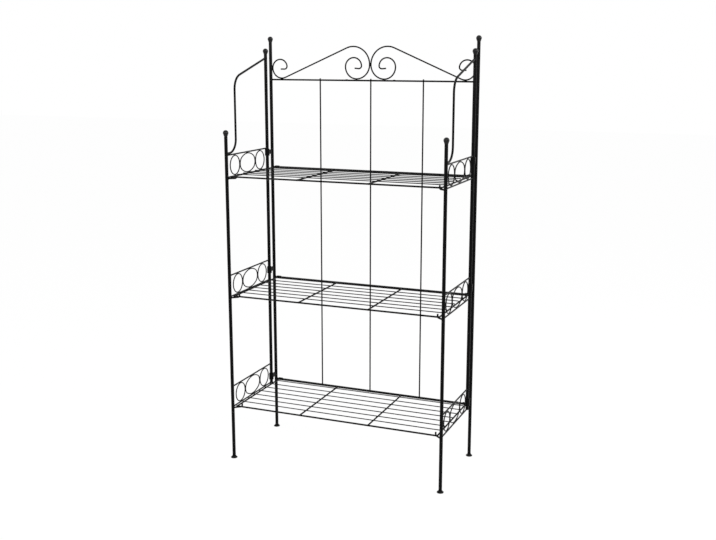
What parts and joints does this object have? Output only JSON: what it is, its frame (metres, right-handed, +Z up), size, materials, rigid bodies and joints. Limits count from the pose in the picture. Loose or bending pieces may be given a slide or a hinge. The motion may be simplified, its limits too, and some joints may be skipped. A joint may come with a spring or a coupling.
{
  "type": "bakers rack",
  "caption": "Open rack of round steel rod: wire shelves hinged to a back panel with a scrolled crest, and side frames with ring guards and ball finials.",
  "frame": {"origin": "on the floor at the centre of the footprint, bottom centre of the bounding box", "axes": "+Z up; the open front faces -Y; +X is to the right seen from the front"},
  "size_m": [0.7105, 0.3204, 1.3175],
  "materials": {
    "powder_coat": "satin black powder coat",
    "foot_plastic": "matte black moulded plastic"
  },
  "bodies": {
    "back_panel": {"back_finial_left": "powder_coat", "back_finial_right": "powder_coat", "back_foot_left": "foot_plastic", "back_foot_right": "foot_plastic", "back_post_left": "powder_coat", "back_post_right": "powder_coat", "back_rod_centre": "powder_coat", "back_rod_left": "powder_coat", "back_rod_right": "powder_coat", "cross_rail_lower": "powder_coat", "cross_rail_middle": "powder_coat", "cross_rail_upper": "powder_coat", "left_hinge_bracket_lower": "powder_coat", "left_hinge_bracket_middle": "powder_coat", "left_hinge_bracket_upper": "powder_coat", "right_hinge_bracket_lower": "powder_coat", "right_hinge_bracket_middle": "powder_coat", "right_hinge_bracket_upper": "powder_coat", "scroll_left": "powder_coat", "scroll_right": "powder_coat", "top_rail": "powder_coat"},
    "left_side_frame": {"left_brace": "powder_coat", "left_front_finial": "powder_coat", "left_front_foot": "foot_plastic", "left_front_post": "powder_coat", "left_guard_rails_lower": "powder_coat", "left_guard_rails_middle": "powder_coat", "left_guard_rails_upper": "powder_coat", "left_guard_rings_lower": "powder_coat", "left_guard_rings_middle": "powder_coat", "left_guard_rings_upper": "powder_coat", "left_rear_finial": "powder_coat", "left_rear_post": "powder_coat", "left_shelf_hooks": "powder_coat"},
    "right_side_frame": {"right_brace": "powder_coat", "right_front_finial": "powder_coat", "right_front_foot": "foot_plastic", "right_front_post": "powder_coat", "right_guard_rails_lower": "powder_coat", "right_guard_rails_middle": "powder_coat", "right_guard_rails_upper": "powder_coat", "right_guard_rings_lower": "powder_coat", "right_guard_rings_middle": "powder_coat", "right_guard_rings_upper": "powder_coat", "right_rear_finial": "powder_coat", "right_rear_post": "powder_coat", "right_shelf_hooks": "powder_coat"},
    "lower_shelf": {"shelf_cross_bars_lower": "powder_coat", "shelf_pivots_lower": "powder_coat", "shelf_rails_lower": "powder_coat", "shelf_wires_lower": "powder_coat"},
    "middle_shelf": {"shelf_cross_bars_middle": "powder_coat", "shelf_pivots_middle": "powder_coat", "shelf_rails_middle": "powder_coat", "shelf_wires_middle": "powder_coat"},
    "upper_shelf": {"shelf_cross_bars_upper": "powder_coat", "shelf_pivots_upper": "powder_coat", "shelf_rails_upper": "powder_coat", "shelf_wires_upper": "powder_coat"}
  },
  "joints": [
    {"name": "lower_shelf_fold", "type": "hinge", "parent": "back_panel", "child": "lower_shelf", "pos_m": [0, 0.15, 0.173], "axis": [-1, 0, 0], "range_deg": [0, 84]},
    {"name": "middle_shelf_fold", "type": "hinge", "parent": "back_panel", "child": "middle_shelf", "pos_m": [0, 0.15, 0.5305], "axis": [-1, 0, 0], "range_deg": [0, 84]},
    {"name": "upper_shelf_fold", "type": "hinge", "parent": "back_panel", "child": "upper_shelf", "pos_m": [0, 0.15, 0.9005], "axis": [-1, 0, 0], "range_deg": [0, 84]},
    {"name": "left_side_swing", "type": "hinge", "parent": "back_panel", "child": "left_side_frame", "pos_m": [-0.345, 0.115, 0.6], "axis": [0, 0, 1], "range_deg": [-0.8, 1]},
    {"name": "right_side_swing", "type": "hinge", "parent": "back_panel", "child": "right_side_frame", "pos_m": [0.345, 0.115, 0.6], "axis": [0, 0, -1], "range_deg": [-0.8, 1]}
  ]
}
